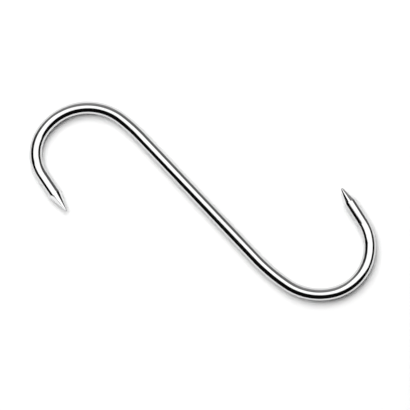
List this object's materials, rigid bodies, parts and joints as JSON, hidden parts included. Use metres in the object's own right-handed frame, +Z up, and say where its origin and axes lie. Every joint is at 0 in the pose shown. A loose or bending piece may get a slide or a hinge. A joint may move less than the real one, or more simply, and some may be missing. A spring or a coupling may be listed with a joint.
{
  "type": "meat hook",
  "caption": "Butcher's S-hook bent from round stainless rod, with a wide bend and a ground point at each end, for hanging meat from a rail.",
  "frame": {"origin": "centre of the hook's bounding box, on the surface that it lies flat on", "axes": "+Y along the straight shank towards the upper (rail) bend, +Z up from the surface that the hook lies on, +X towards the side that the lower (load) bend is on"},
  "size_m": [0.1056, 0.16, 0.006],
  "materials": {
    "polished_stainless": "bright drawn and polished 6 mm stainless rod, with belt-ground flats at both points"
  },
  "bodies": {
    "root": {"hook": "polished_stainless"}
  },
  "joints": []
}
